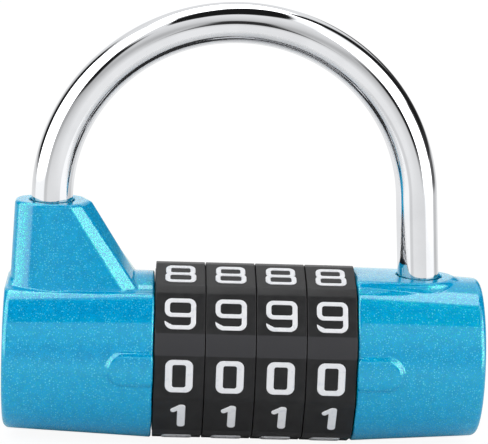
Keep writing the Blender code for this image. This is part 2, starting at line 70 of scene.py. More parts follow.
# Camera, fitted to the outline
view = {"target": (1.59, 0, 21.38), "distance": 400, "azimuth": -2.39, "elevation": 11.0,
        "roll": 1.94, "lens": 183.2, "sensor": 36, "clip": (0.01, 20)}


def addCamera():
    azimuth, elevation, roll = (math.radians(view[k]) for k in ("azimuth", "elevation", "roll"))
    back = Vector((math.sin(azimuth) * math.cos(elevation), -math.cos(azimuth) * math.cos(elevation),
                   math.sin(elevation)))
    right = Vector((math.cos(azimuth), math.sin(azimuth), 0))
    up = back.cross(right)
    turned = Matrix((right * math.cos(roll) + up * math.sin(roll),
                     up * math.cos(roll) - right * math.sin(roll), back)).transposed()
    spot = Vector(place(view["target"])) + back * view["distance"] * millimetre
    lens = bpy.data.cameras.new("camera")
    lens.sensor_fit = "HORIZONTAL"
    lens.sensor_width = view["sensor"]
    lens.lens = view["lens"]
    lens.clip_start, lens.clip_end = view["clip"]
    camera = bpy.data.objects.new("camera", lens)
    camera.matrix_world = Matrix.Translation(spot) @ turned.to_4x4()
    bpy.context.scene.collection.objects.link(camera)
    bpy.context.scene.camera = camera


addCamera()
bpy.context.scene.view_settings.view_transform = "Standard"
print("camera set")


# Meshes

sharpFrom = 35  # degrees between two faces from which their edge stays sharp


def addPiece(name, points, faces, material, body, normals=None, replaced=(), slot=None):
    # faces is a list of index arrays with 4 or 3 columns; a negative volume turns them round
    flat = np.concatenate([f.ravel() for f in faces])
    sizes = np.concatenate([np.full(len(f), f.shape[1]) for f in faces])
    corners = np.concatenate([f[:, :3] for f in faces] + [f[:, [0, 2, 3]] for f in faces if f.shape[1] == 4])
    a, b, c = (points[corners[:, k]] for k in range(3))
    starts = np.concatenate([[0], np.cumsum(sizes)[:-1]])
    if np.sum(a * np.cross(b, c)) < 0:
        flat = np.concatenate([f[:, ::-1].ravel() for f in faces])
    mesh = bpy.data.meshes.new(name)
    mesh.vertices.add(len(points))
    mesh.vertices.foreach_set("co", place(points).astype(np.float32).ravel())
    mesh.loops.add(len(flat))
    mesh.loops.foreach_set("vertex_index", flat.astype(np.int32))
    mesh.polygons.add(len(sizes))
    mesh.polygons.foreach_set("loop_start", starts.astype(np.int32))
    mesh.update(calc_edges=True)
    mesh.validate()
    mesh.shade_smooth()
    if normals is None:
        mesh.set_sharp_from_angle(angle=math.radians(sharpFrom))
    else:
        mesh.normals_split_custom_set_from_vertices(normals.astype(np.float32))
    mesh.materials.append(material)
    piece = bpy.data.objects.new(name, mesh)
    bpy.context.scene.collection.objects.link(piece)
    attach(piece, body)
    if replaced:
        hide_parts(*replaced)
    print(name, "triangles", int(np.sum(sizes - 2)))
    return piece


def gridFaces(rows, columns, wrapRows=False):
    # quads of a grid of rows by columns, closed round the columns and, if asked, round the rows
    row = np.arange(rows if wrapRows else rows - 1)[:, None]
    column = np.arange(columns)[None, :]
    below, after = (row + 1) % rows, (column + 1) % columns
    return np.stack([row * columns + column, row * columns + after,
                     below * columns + after, below * columns + column], -1).reshape(-1, 4)


def capFaces(ring, pole):
    # triangles from a ring of points to one pole
    return np.stack([ring, np.roll(ring, -1), np.full(len(ring), pole)], -1)


def tubeFaces(rows, sides):
    # a tube's rows of points, with the two poles that follow them closing its ends
    ring = np.arange(sides)
    return [gridFaces(rows, sides), capFaces(ring[::-1], rows * sides),
            capFaces(ring + (rows - 1) * sides, rows * sides + 1)]


def bend(centre, radius, start, end, steps):
    # points of an arc in a plane, both ends included
    angle = np.radians(np.linspace(start, end, steps))
    return np.stack([centre[0] + radius * np.cos(angle), centre[1] + radius * np.sin(angle)], -1)


def rodMesh(size):
    # a half outline with rounded rims, turned about the dial axis, with a pole at each end
    start, end, radius = size["start"], size["end"], size["radius"]
    first, last = size["rims"]
    profile = np.concatenate([bend((start + first, radius - first), first, 180, 90, size["rimSteps"][0]),
                              bend((end - last, radius - last), last, 90, 0, size["rimSteps"][1])])
    turn = np.linspace(0, 2 * np.pi, size["sides"], endpoint=False)
    along, reach = profile[:, :1] + 0 * turn, profile[:, 1:]
    points = np.stack([along, reach * np.cos(turn), reach * np.sin(turn)], -1).reshape(-1, 3)
    poles = np.array([[start, 0, 0], [end, 0, 0]])
    return np.concatenate([points, poles]), tubeFaces(len(profile), size["sides"])


# Distance fields: negative inside. both() and either() round the edge or fillet the corner they make.

def both(a, b, radius=0.0):
    corner = np.hypot(np.maximum(a + radius, 0), np.maximum(b + radius, 0))
    return np.minimum(np.maximum(a, b), -radius) + corner


def either(a, b, radius=0.0):
    corner = np.hypot(np.maximum(radius - a, 0), np.maximum(radius - b, 0))
    return np.maximum(np.minimum(a, b), radius) - corner


net = {"margin": 1.5, "pulls": 5, "leastSlope": 0.2, "leastLength": 1e-6, "reach": 0.01}


def fieldSlope(field, points):
    # the field's gradient, from its values a short reach to both sides
    steps = np.eye(3) * net["reach"]
    change = [field(*(points + s).T) - field(*(points - s).T) for s in steps]
    return np.stack(change, -1) / (2 * net["reach"])


def fieldSurface(field, low, high, step):
    # one point in each grid cell that the field's zero level crosses, at the mean of the crossings on
    # its edges, then pulled onto the level along the gradient; a quad round each crossed grid edge
    before, after = net["margin"] * step, (net["margin"] + 1) * step
    lines = [np.arange(a - before, b + after, step) for a, b in zip(low, high)]
    value = field(*np.meshgrid(*lines, indexing="ij"))
    inside = value < 0
    cells = tuple(n - 1 for n in value.shape)
    total, count = np.zeros(cells + (3,)), np.zeros(cells)
    crossed = []
    for axis in range(3):
        ahead = [slice(None)] * 3
        behind = [slice(None)] * 3
        ahead[axis], behind[axis] = slice(1, None), slice(None, -1)
        ahead, behind = tuple(ahead), tuple(behind)
        change = inside[ahead] != inside[behind]
        crossed.append(change)
        gap = value[behind] - value[ahead]
        share = np.where(change, value[behind] / np.where(change, gap, 1), 0)
        others = [k for k in range(3) if k != axis]
        for first in (0, 1):
            for second in (0, 1):
                part = [slice(None)] * 3
                part[others[0]] = slice(first, first + cells[others[0]])
                part[others[1]] = slice(second, second + cells[others[1]])
                part = tuple(part)
                count += change[part]
                total[..., axis] += share[part]
                total[..., others[0]] += first * change[part]
                total[..., others[1]] += second * change[part]
    used = count > 0
    number = np.full(cells, -1)
    number[used] = np.arange(used.sum())
    corner = np.argwhere(used)
    points = np.array([line[0] for line in lines]) + (corner + total[used] / count[used][:, None]) * step
    faces = []
    for axis, change in enumerate(crossed):
        at = np.argwhere(change)
        one, two = np.eye(3, dtype=int)[[(axis + 1) % 3, (axis + 2) % 3]]
        around = ((0, 0), (1, 0), (1, 1), (0, 1))
        quad = np.stack([number[tuple((at - s * one - t * two).T)] for s, t in around], -1)
        turn = ~inside[tuple(at.T)]
        quad[turn] = quad[turn][:, ::-1]
        faces.append(quad)
    for pull in range(net["pulls"]):
        slope = fieldSlope(field, points)
        steep = np.maximum(np.sum(slope * slope, 1), net["leastSlope"])
        points = points - np.clip(field(*points.T), -step, step)[:, None] * slope / steep[:, None]
    slope = fieldSlope(field, points)
    length = np.maximum(np.linalg.norm(slope, axis=1), net["leastLength"])
    return points, np.concatenate(faces), slope / length[:, None]


# Shader wires

class Wire:  # a socket whose sums add Math nodes, and whose add() makes any other node
    def __init__(self, tree, socket=None):
        self.tree, self.socket = tree, socket

    def add(self, kind, settings={}, inputs={}, output=0):
        made = self.tree.nodes.new(kind)
        for key, value in settings.items():
            if key == "stops":
                ramp = made.color_ramp
                while len(ramp.elements) < len(value):
                    ramp.elements.new(0.5)
                for element, (position, colour) in zip(ramp.elements, value):
                    element.position, element.color = position, (*colour, 1)
            else:
                setattr(made, key, value)
        for key, value in inputs.items():
            if isinstance(value, Wire):
                self.tree.links.new(value.socket, made.inputs[key])
            else:
                made.inputs[key].default_value = value
        return Wire(self.tree, made.outputs[output] if made.outputs else None)

    def sum(self, operation, *values):
        return self.add("ShaderNodeMath", {"operation": operation}, dict(enumerate(values)))

    def __add__(self, other): return self.sum("ADD", self, other)
    def __radd__(self, other): return self.sum("ADD", other, self)
    def __sub__(self, other): return self.sum("SUBTRACT", self, other)
    def __rsub__(self, other): return self.sum("SUBTRACT", other, self)
    def __mul__(self, other): return self.sum("MULTIPLY", self, other)
    def __rmul__(self, other): return self.sum("MULTIPLY", other, self)
    def __pow__(self, other): return self.sum("POWER", self, other)

    def rise(self, low, high):  # smooth step from 0 at low to 1 at high
        return self.add("ShaderNodeMapRange", {"interpolation_type": "SMOOTHSTEP"},
                        {"Value": self, "From Min": low, "From Max": high})

    def within(self, low, high, soft):  # 1 between low and high, with soft ends
        return self.rise(low - soft, low + soft) * (1 - self.rise(high - soft, high + soft))

    def blend(self, first, second):  # this wire mixes two colours
        return self.add("ShaderNodeMix", {"data_type": "RGBA"}, {0: self, 6: first, 7: second}, 2)


def newMaterial(name, constants):
    # a Principled surface with the same-all-over values set on its own sockets
    material = bpy.data.materials.new(name)
    material.use_nodes = True
    tree = material.node_tree
    surface = tree.nodes["Principled BSDF"]
    for key, value in constants.items():
        surface.inputs[key].default_value = value
    wire = Wire(tree)
    where = wire.add("ShaderNodeTexCoord", output="Object")

    def feed(key, value):
        tree.links.new(value.socket, surface.inputs[key])
    return material, wire, where, feed


def noise(wire, where, scale, detail, stretch=None):
    if stretch:
        where = wire.add("ShaderNodeMapping", {}, {"Vector": where, "Scale": stretch})
    return wire.add("ShaderNodeTexNoise", {}, {"Vector": where, "Scale": scale, "Detail": detail})


def bump(wire, height, strength, depth):
    return wire.add("ShaderNodeBump", {}, {"Strength": strength, "Distance": depth, "Height": height})


# the spark colour and its count, size and softness paint glints: pale dots for the paint's sparkle
paint = {"deep": (0.000, 0.350, 0.735, 1), "light": (0.000, 0.410, 0.825, 1), "cloudsPerMetre": 900,
         "cloudRange": (0.3, 0.7), "cloudRoughness": 0.08, "roughness": 0.14, "coatRoughness": 0.015,
         "flake": (0.020, 0.750, 0.300, 1), "flakesPerMetre": 40000, "flakeShare": 0.12, "flakeSoft": 0.03,
         "flakeTilt": 0.16, "paintedGlint": (0.115, 0.780, 0.970, 1), "paintedGlintsPerMetre": 3000, "paintedGlintSize": 0.280,
         "paintedGlintSoft": 0.4, "sheen": (0.000, 1.000, 0.350, 1), "sheenWeight": 0.15, "sheenRoughness": 0.3}


def bluePaint():
    # Voronoi cells: some are metal flakes, each with its own small tilt, in blue under clear coat;
    # a coarser set paints a pale glint in the middle of its cells, each of its own strength
    material, wire, where, feed = newMaterial("bluePaint", {
        "Specular IOR Level": 0.0, "Coat Weight": 1.0, "Coat Roughness": paint["coatRoughness"],
        "Sheen Weight": paint["sheenWeight"], "Sheen Tint": paint["sheen"],
        "Sheen Roughness": paint["sheenRoughness"]})
    fine = {"Vector": where, "Scale": paint["flakesPerMetre"]}
    colour = wire.add("ShaderNodeTexVoronoi", {}, fine, "Color")
    chance = wire.add("ShaderNodeSeparateColor", {}, {0: colour})
    least = 1 - paint["flakeShare"]
    flake = chance.rise(least - paint["flakeSoft"], least + paint["flakeSoft"])
    coarse = {"Vector": where, "Scale": paint["paintedGlintsPerMetre"]}
    apart, tint = (wire.add("ShaderNodeTexVoronoi", {}, coarse, k) for k in ("Distance", "Color"))
    strength = wire.add("ShaderNodeSeparateColor", {}, {0: tint})
    size, soft = paint["paintedGlintSize"], paint["paintedGlintSoft"]
    # painted glint: pale dots in the base colour stand in for the sparkle of the flakes
    paintedGlint = strength * (1 - apart.rise(size * (1 - soft), size * (1 + soft)))
    cloud = noise(wire, where, paint["cloudsPerMetre"], 3)
    blue = cloud.rise(*paint["cloudRange"]).blend(paint["deep"], paint["light"])
    feed("Base Color", paintedGlint.blend(flake.blend(blue, paint["flake"]), paint["paintedGlint"]))
    feed("Metallic", flake)
    feed("Roughness", paint["roughness"] + paint["cloudRoughness"] * cloud)
    tilt = wire.add("ShaderNodeVectorMath", {"operation": "MULTIPLY_ADD"},
                    {0: colour, 1: (paint["flakeTilt"],) * 3, 2: (-paint["flakeTilt"] / 2,) * 3})
    upright = wire.add("ShaderNodeNewGeometry", output="Normal")
    tilted = wire.add("ShaderNodeVectorMath", {"operation": "ADD"}, {0: upright, 1: tilt})
    feed("Normal", wire.add("ShaderNodeVectorMath", {"operation": "NORMALIZE"}, {0: tilted}))
    return material


plating = {"colour": (0.86, 0.87, 0.89, 1), "haze": (0.80, 0.81, 0.83, 1), "roughness": 0.035,
           "hazePerMetre": 160, "hazeRange": (0.35, 0.75), "hazeRoughness": 0.02, "scratchesPerMetre": 1500,
           "scratchStretch": (1.0, 1.0, 0.06), "scratchRange": (0.62, 0.8), "scratchRoughness": 0.035,
           "bump": (0.02, 0.0002)}


def chrome():
    # faint haze and hair scratches in the plating
    material, wire, where, feed = newMaterial("chrome", {"Metallic": 1.0})
    haze = noise(wire, where, plating["hazePerMetre"], 4)
    scratch = noise(wire, where, plating["scratchesPerMetre"], 2, plating["scratchStretch"])
    feed("Base Color", haze.rise(*plating["hazeRange"]).blend(plating["colour"], plating["haze"]))
    feed("Roughness", plating["roughness"] + plating["hazeRoughness"] * haze
         + plating["scratchRoughness"] * scratch.rise(*plating["scratchRange"]))
    feed("Normal", bump(wire, haze, *plating["bump"]))
    return material


# the pale ridge colour, its reach and its turn paint a reflection of the front light on the ridge above the
# zero
dialPlastic = {"colour": (0.013, 0.013, 0.014, 1), "worn": (0.025, 0.025, 0.026, 1), "wearPerMetre": 420,
               "wearRange": (0.3, 0.8), "wearShare": 0.7, "wearRoughness": 0.14, "roughness": 0.42,
               "specular": 0.25, "grainPerMetre": 5200, "bump": (0.12, 0.00008),
               "paintedReflection": (0.045, 0.045, 0.049, 1), "paintedReflectionFrom": 14.32, "paintedReflectionTo": 14.38,
               "reflectionTurn": (7, 29), "reflectionTurnSoft": 1}


def blackPlastic():
    # moulded plastic: fine spark-eroded grain, cloudy wear in colour and gloss, and a paler ridge above
    # the zero, a painted reflection of the front light, told by its distance from the dial axis and its turn
    # about it
    p = dialPlastic
    material, wire, where, feed = newMaterial("blackPlastic", {"Specular IOR Level": p["specular"]})
    grain = noise(wire, where, p["grainPerMetre"], 3)
    wear = noise(wire, where, p["wearPerMetre"], 3)
    y, z = (wire.add("ShaderNodeSeparateXYZ", {}, {0: where}, k) for k in "YZ")
    z = z + axisDrop * millimetre
    apart = (y * y + z * z) ** 0.5
    turn = wire.sum("ARCTAN2", z, y * -1) * inDegrees
    # painted reflection: the ridge above the zero is paler, as if it mirrored the front light
    paintedReflection = apart.rise(p["paintedReflectionFrom"] * millimetre, p["paintedReflectionTo"] * millimetre) \
        * turn.within(*p["reflectionTurn"], p["reflectionTurnSoft"])
    cloudy = wear.rise(*p["wearRange"]) * p["wearShare"] + grain * (1 - p["wearShare"])
    feed("Base Color", paintedReflection.blend(cloudy.blend(p["colour"], p["worn"]), p["paintedReflection"]))
    feed("Roughness", p["roughness"] + p["wearRoughness"] * wear - p["wearRoughness"] / 2)
    feed("Normal", bump(wire, grain, *p["bump"]))
    return material


numeralPaint = {"colour": (0.93, 0.94, 0.97, 1), "grey": (0.74, 0.77, 0.84, 1), "patchesPerMetre": 1300,
                "greyRange": (0.5, 0.9), "roughness": 0.38, "patchRoughness": 0.15, "bump": (0.10, 0.0001),
                "specular": 0.4, "coat": 0.5, "coatRoughness": 0.08}


def numeralWhite():
    # thick glossy white filler, a little uneven
    p = numeralPaint
    material, wire, where, feed = newMaterial("numeralWhite", {
        "Specular IOR Level": p["specular"], "Coat Weight": p["coat"], "Coat Roughness": p["coatRoughness"]})
    patch = noise(wire, where, p["patchesPerMetre"], 3)
    feed("Base Color", patch.rise(*p["greyRange"]).blend(p["colour"], p["grey"]))
    feed("Roughness", p["roughness"] + p["patchRoughness"] * patch)
    feed("Normal", bump(wire, patch, *p["bump"]))
    return material


lathe = {"marksPerMetre": 900, "marksStretch": (6.0, 0.15, 0.15), "marksShare": 0.6, "patchesPerMetre": 300,
         "roughness": 0.25, "marksRoughness": 0.15, "bump": (0.15, 0.00005),
         "brass": ((0.66, 0.48, 0.20, 1), (0.50, 0.35, 0.13, 1)),
         "steel": ((0.62, 0.63, 0.65, 1), (0.46, 0.47, 0.49, 1))}


def turnedMetal(name):
    # lathe marks run round the dial axis: noise squeezed along x
    material, wire, where, feed = newMaterial(name, {"Metallic": 1.0})
    marks = noise(wire, where, lathe["marksPerMetre"], 3, lathe["marksStretch"])
    patch = noise(wire, where, lathe["patchesPerMetre"], 3)
    dull = marks * lathe["marksShare"] + patch * (1 - lathe["marksShare"])
    feed("Base Color", dull.blend(*lathe[name]))
    feed("Roughness", lathe["roughness"] + lathe["marksRoughness"] * marks)
    feed("Normal", bump(wire, marks, *lathe["bump"]))
    return material


materials = {"bluePaint": bluePaint(), "chrome": chrome(), "blackPlastic": blackPlastic(),
             "numeralWhite": numeralWhite(), "brass": turnedMetal("brass"), "steel": turnedMetal("steel")}
print("materials made")


# Barrels

barrelShape = {"endRound": 1.0, "faceRound": 0.35, "step": 0.27}
tongue = {"length": 7.6, "half": 2.95, "rise": 0.62, "edge": 1.2, "fillet": 0.2, "back": -5}
leftBarrel = {"end": -36.425, "face": -12.555, "endRadius": 13.18, "faceRadius": 14.25, "land": 11.05,
              "landEdge": 0.3, "core": 12.8, "coreFillet": 0.3, "coreInset": 0.4,
              "heelX": -29.29, "holeRadius": 3.65, "holeFloor": -10.3, "holeRim": 0.12,
              "guideRadius": 2.8, "seatRadius": 4.8, "seatX": -17.855}
horn = {"top": 24.3, "rise": 12.8, "root": 9.2, "outward": 5.9, "inward": 6.2, "foot": 8.1, "half": 5.0,
        "depthDraft": 2.6, "sideDraft": 0.45, "corner": 1.5, "outerFacet": 3.9, "outerEdge": 1.8,
        "facet": 1.95, "facetGrowth": 0.4, "facetTurn": 33, "facetEdge": 0.2, "bulge": 1.4,
        "bulgeLoss": 0.95, "lossUntil": 1.2, "ridge": 0.3, "slopeEdge": 0.25, "edge": 0.5, "fillet": 0.3}
pinHole = {"x": -32.815, "height": 16.0, "radius": 1.15, "front": -4.74, "rim": 0.12}
rightBarrel = {"end": 40.265, "face": 19.785, "endRadius": 12.79, "faceRadius": 14.07, "topEdge": 0.5,
               "boss": 13.2, "bossHalf": 5.7, "bossEdge": 0.6, "bossFillet": 0.9, "bossDepth": 4,
               "bossInset": 0.35, "bossFaceEdge": 0.3, "toeX": 30.29, "holeRadius": 3.65,
               "holeFloor": 6.6, "holeRim": 0.12, "nutBore": 4.2, "chamber": 5.7, "bulkhead": 23.785}


def barrelField(x, y, z, size, rise=0.0):
    # a cone about the dial axis between its end and its dial face, both with a rounded rim
    side = 1 if size["face"] > size["end"] else -1
    share = (x - size["end"]) / (size["face"] - size["end"])
    wall = np.hypot(y, z) - (size["endRadius"] + (size["faceRadius"] - size["endRadius"]) * share + rise)
    solid = both(wall, (size["end"] - x) * side, barrelShape["endRound"])
    return both(solid, (x - size["face"]) * side, barrelShape["faceRound"])


def tongueField(x, y, z, size):
    # a U in front: a bar with a half-round outer end, cut from a barrel of slightly larger radius
    outward = -1 if size["face"] > size["end"] else 1
    past = (x - size["face"]) * outward - (tongue["length"] - tongue["half"])
    outline = np.where(past > 0, np.hypot(past, z), np.abs(z)) - tongue["half"]
    raised = both(outline, barrelField(x, y, z, size, tongue["rise"]), tongue["edge"])
    return both(raised, y - tongue["back"])


def hornField(x, y, z):
    # upright block that widens downwards: outer side, front and back, facets, flat top, and an inner
    # slope that falls away from a rounded ridge
    below = (horn["top"] - z) / horn["rise"]
    outer = leftBarrel["heelX"] - horn["outward"] - horn["sideDraft"] * below
    inner = leftBarrel["heelX"] + horn["inward"] + horn["foot"] * below
    half = horn["half"] + horn["depthDraft"] * below
    deep = np.abs(y)
    slopes = {k: horn[k] / horn["rise"] for k in ("sideDraft", "foot", "depthDraft")}
    outerSide = (outer - x) / math.hypot(1, slopes["sideDraft"])
    front = (deep - half) / math.hypot(1, slopes["depthDraft"])
    sine, cosine = math.sin(math.radians(horn["facetTurn"])), math.cos(math.radians(horn["facetTurn"]))
    bulge = horn["bulge"] - horn["bulgeLoss"] * np.clip(below, 0, horn["lossUntil"])
    width = horn["facet"] + horn["facetGrowth"] * below
    start = inner - bulge - width
    facet = ((x - start) * sine + (deep - half) * cosine) \
        / math.hypot(1, sine * slopes["foot"] + cosine * slopes["depthDraft"])
    outerFacet = (outer + horn["outerFacet"] - x) * sine + (deep - half) * cosine
    reach = half - width * sine / cosine
    fall = bulge / (np.hypot(reach, horn["ridge"]) - horn["ridge"])
    crown = np.hypot(y, horn["ridge"])
    steep = np.sqrt(1 + slopes["foot"] ** 2 + (fall * y / crown) ** 2)
    slope = (x - inner + fall * (crown - horn["ridge"])) / steep
    inside = both(both(front, facet, horn["facetEdge"]), slope, horn["slopeEdge"])
    inside = both(both(inside, outerFacet, horn["outerEdge"]), outerSide, horn["corner"])
    return both(both(inside, z - horn["top"], horn["edge"]), horn["root"] - z)


def leftField(x, y, z):
    # barrel and tongue cut flat at the land, a round core above it, the horn, then the holes
    size = leftBarrel
    solid = either(barrelField(x, y, z, size), tongueField(x, y, z, size), tongue["fillet"])
    solid = both(solid, z - size["land"], size["landEdge"])
    core = barrelField(x, y, z, dict(size, end=size["end"] + size["coreInset"], endRadius=size["core"],
                                     faceRadius=size["core"]))
    solid = either(solid, core, size["coreFillet"])
    solid = either(solid, hornField(x, y, z), horn["fillet"])
    heelHole = both(np.hypot(x - size["heelX"], y) - size["holeRadius"], size["holeFloor"] - z)
    solid = both(solid, -heelHole, size["holeRim"])
    axis = np.hypot(y, z)
    guide = both(axis - size["guideRadius"], size["heelX"] - x)
    seat = both(axis - size["seatRadius"], size["seatX"] - x)
    cross = np.hypot(x - pinHole["x"], z - pinHole["height"])
    crossHole = both(cross - pinHole["radius"], pinHole["front"] - y)
    return both(both(solid, -np.minimum(guide, seat)), -crossHole, pinHole["rim"])


def rightField(x, y, z):
    # barrel and tongue cut flat at the boss's height, the boss round the toe hole, then the holes
    size = rightBarrel
    solid = either(barrelField(x, y, z, size), tongueField(x, y, z, size), tongue["fillet"])
    solid = both(solid, z - size["boss"], size["topEdge"])
    past = x - size["toeX"]
    outline = np.where(past > 0, np.hypot(past, y), np.abs(y)) - size["bossHalf"]
    boss = both(outline, z - size["boss"], size["bossEdge"])
    boss = both(boss, size["face"] + size["bossInset"] - x, size["bossFaceEdge"])
    solid = either(solid, both(boss, size["boss"] - size["bossDepth"] - z), size["bossFillet"])
    toeHole = both(np.hypot(past, y) - size["holeRadius"], size["holeFloor"] - z)
    solid = both(solid, -toeHole, size["holeRim"])
    axis = np.hypot(y, z)
    chamber = both(axis - size["chamber"], size["bulkhead"] - x)
    return both(solid, -np.minimum(axis - size["nutBore"], chamber))


def addBarrel(name, field, size, top, node):
    ends = sorted((size["end"], size["face"]))
    reach = size["faceRadius"] + tongue["rise"]
    low, high = (ends[0], -reach, -reach), (ends[1], reach, top)
    points, quads, normals = fieldSurface(field, low, high, barrelShape["step"])
    return addPiece(name, points, [quads], materials["bluePaint"], "lock_body", normals, [node], "blue_paint")


addBarrel("leftBarrel", leftField, leftBarrel, horn["top"], "left_housing")
addBarrel("rightBarrel", rightField, rightBarrel, rightBarrel["faceRadius"], "right_housing")

endPlug = {"start": 37.765, "end": 40.265, "radius": 5.4, "rims": (0.2, 0.4), "rimSteps": (5, 9), "sides": 96}
addPiece("endPlug", *rodMesh(endPlug), materials["bluePaint"], "lock_body",
         replaced=["right_end_cap"], slot="blue_paint")


# Shackle

shackle = {"barRadius": 3.325, "halfSpan": -leftBarrel["heelX"], "archFoot": 24.9, "archHeight": 28.73,
           "heelTip": -10.0, "splay": 3.6, "toeTip": 7.1, "tipRound": 0.7, "notchDepth": 1.475,
           "notchHalf": 1.8, "notchFlank": 8.0 / 2.4,  # the shackle's lift over the bolt's travel
           "neck": 2.225, "flatLow": 6.7, "grooveHigh": 9.3, "flatHigh": 17.3, "sides": 96, "tipRows": 7,
           "heelRows": 90, "archRows": 240, "toeRows": 50, "heelGap": 0.2, "toeGap": 0.3, "cutEdge": 0.01}


def shackleBar():
    # circle sections carried up the heel leg, over an oval arch and down the leaning toe leg;
    # the heel's notch, pin flat and groove limit how far a section reaches inwards or outwards
    s = shackle
    quarter = np.radians(np.linspace(0, 90, s["tipRows"] + 1))[:-1]
    tip, shrink = s["tipRound"] * (1 - np.cos(quarter)), s["tipRound"] * (1 - np.sin(quarter))
    cuts = np.array([s["flatLow"], s["grooveHigh"], s["flatHigh"], -s["notchHalf"], s["notchHalf"]])
    leg = np.linspace(s["heelTip"] + s["tipRound"], s["archFoot"] - s["heelGap"], s["heelRows"])
    leg = np.sort(np.concatenate([leg, cuts - s["cutEdge"], cuts + s["cutEdge"]]))
    heelZ = np.concatenate([s["heelTip"] + tip, leg])
    angle = np.radians(np.linspace(180, s["splay"], s["archRows"]))
    archX, archZ = s["halfSpan"] * np.cos(angle), s["archFoot"] + s["archHeight"] * np.sin(angle)
    lean = math.atan2(s["halfSpan"] * math.sin(angle[-1]), s["archHeight"] * math.cos(angle[-1]))
    leg = np.linspace(archZ[-1] - s["toeGap"], s["toeTip"] + s["tipRound"], s["toeRows"])
    toeZ = np.concatenate([leg, (s["toeTip"] + tip)[::-1]])
    toeX = archX[-1] + (archZ[-1] - toeZ) * math.tan(lean)
    x = np.concatenate([np.full(len(heelZ), -s["halfSpan"]), archX, toeX])
    z = np.concatenate([heelZ, archZ, toeZ])
    inward = np.stack([-s["archHeight"] * np.cos(angle), -s["halfSpan"] * np.sin(angle)], -1)
    inward = inward / np.linalg.norm(inward, axis=1)[:, None]
    across = np.concatenate([np.tile([1.0, 0.0], (len(heelZ), 1)), inward,
                             np.tile([-math.cos(lean), -math.sin(lean)], (len(toeZ), 1))])
    radius = np.full(len(x), s["barRadius"])
    radius[:len(tip)] -= shrink
    radius[-len(tip):] -= shrink[::-1]
    onHeel = np.arange(len(x)) < len(heelZ)
    radius[onHeel & (z > s["flatLow"]) & (z < s["grooveHigh"])] = s["neck"]
    turn = np.linspace(0, 2 * np.pi, s["sides"], endpoint=False)
    u, v = radius[:, None] * np.cos(turn), radius[:, None] * np.sin(turn)
    floor = s["barRadius"] - s["notchDepth"]
    flank = floor + np.maximum(-s["notchHalf"] - z, 0) / s["notchFlank"]
    most = np.where(onHeel & (z < s["notchHalf"]), flank, s["barRadius"])
    least = np.where(onHeel & (z > s["flatLow"]) & (z < s["flatHigh"]), -s["neck"], -s["barRadius"])
    u = np.clip(u, least[:, None], most[:, None])
    points = np.stack([x[:, None] + u * across[:, :1], v, z[:, None] + u * across[:, 1:]], -1)
    poles = np.array([[x[0], 0, z[0]], [x[-1], 0, z[-1]]])
    return addPiece("shackleBar", np.concatenate([points.reshape(-1, 3), poles]),
                    tubeFaces(len(x), s["sides"]), materials["chrome"], "shackle",
                    replaced=["shackle"], slot="chrome")


shackleBar()


# Dials and their numbers

dial = {"count": 4, "start": -12.335, "pitch": 8.01, "width": 7.87, "ridge": 14.4, "ridgeSoft": 0.012,
        "flatReach": 13.95, "flatSpan": 60, "tenth": 36, "turn": -1.6, "zeroLower": 5.3, "edge": 0.13,
        "edgeSteps": 9, "bore": 9.3, "notch": 10.0, "notchHalf": 1.1, "keyAt": 90, "lipRise": 0.12,
        "outerLip": 0.08, "lipRadius": 13.1, "angles": 720}


def flatAngles():
    # how far down from the front the middle of each number's flat stands, in degrees
    digit = np.arange(10)
    return digit * dial["tenth"] + dial["turn"] + np.where(digit == 0, dial["zeroLower"], 0)


def dialStart(number):
    return dial["start"] + number * dial["pitch"]


def dialPiece(number):
    # ten flats meet a circle in a soft edge; the profile runs over the outside, round each rim and
    # back through the bore, whose radius steps out at the ten key notches; low round lips close the
    # slits towards the next dial and the barrels
    angle = np.linspace(0, 360, dial["angles"], endpoint=False)
    apart = (angle[:, None] - flatAngles() + 180) % 360 - 180
    slant = np.radians(np.clip(apart, -dial["flatSpan"], dial["flatSpan"]))
    flat = np.where(np.abs(apart) < dial["flatSpan"], dial["flatReach"] / np.cos(slant), np.inf).min(1)
    soft = dial["ridgeSoft"]
    ridge = np.minimum(flat, dial["ridge"]) - soft * np.log1p(np.exp(-np.abs(flat - dial["ridge"]) / soft))
    fromKey = np.abs((angle - dial["keyAt"] + dial["tenth"] / 2) % dial["tenth"] - dial["tenth"] / 2)
    across = np.sin(np.radians(fromKey)) * dial["notch"]
    bore = np.where(across < dial["notchHalf"], dial["notch"], dial["bore"])
    start = dialStart(number)
    end = start + dial["width"]
    e = dial["edge"]
    outside = np.concatenate([bend((start + e, e), e, 180, 270, dial["edgeSteps"]),
                              bend((end - e, e), e, 270, 360, dial["edgeSteps"])])
    lip = np.full(len(angle), dial["lipRadius"])
    right = end + (dial["lipRise"] if number + 1 < dial["count"] else dial["outerLip"])
    rows = [(end, lip), (right, lip), (right, bore), (start, bore)]
    if number == 0:
        left = start - dial["outerLip"]
        rows[-1:] = [(left, bore), (left, lip), (start, lip)]
    x = np.concatenate([outside[:, 0], [at for at, reach in rows]])
    radius = np.concatenate([ridge - outside[:, 1:], [reach for at, reach in rows]])
    turn = np.radians(angle)
    points = np.stack([x[:, None] + 0 * turn, -radius * np.cos(turn), -radius * np.sin(turn)], -1)
    faces = [gridFaces(len(x), dial["angles"], True)]
    return addPiece(f"dial{number + 1}", points.reshape(-1, 3), faces, materials["blackPlastic"],
                    f"dial_set_{number + 1}", replaced=[f"dial_{number + 1}"], slot="black_plastic")


numeral = {"height": 0.16, "sink": 0.06, "round": 0.14, "step": 0.1, "box": (2.7, 2.95), "upright": 0.82,
           "level": 0.72, "tall": 2.68, "wide": 2.48, "barExtra": 0.04, "leastRound": 0.35, "opening": 1.4,
           "upperHalf": 1.49, "upperInset": 0.12, "upperRound": 1.05, "lowerHalf": 1.55, "lowerRound": 1.1}


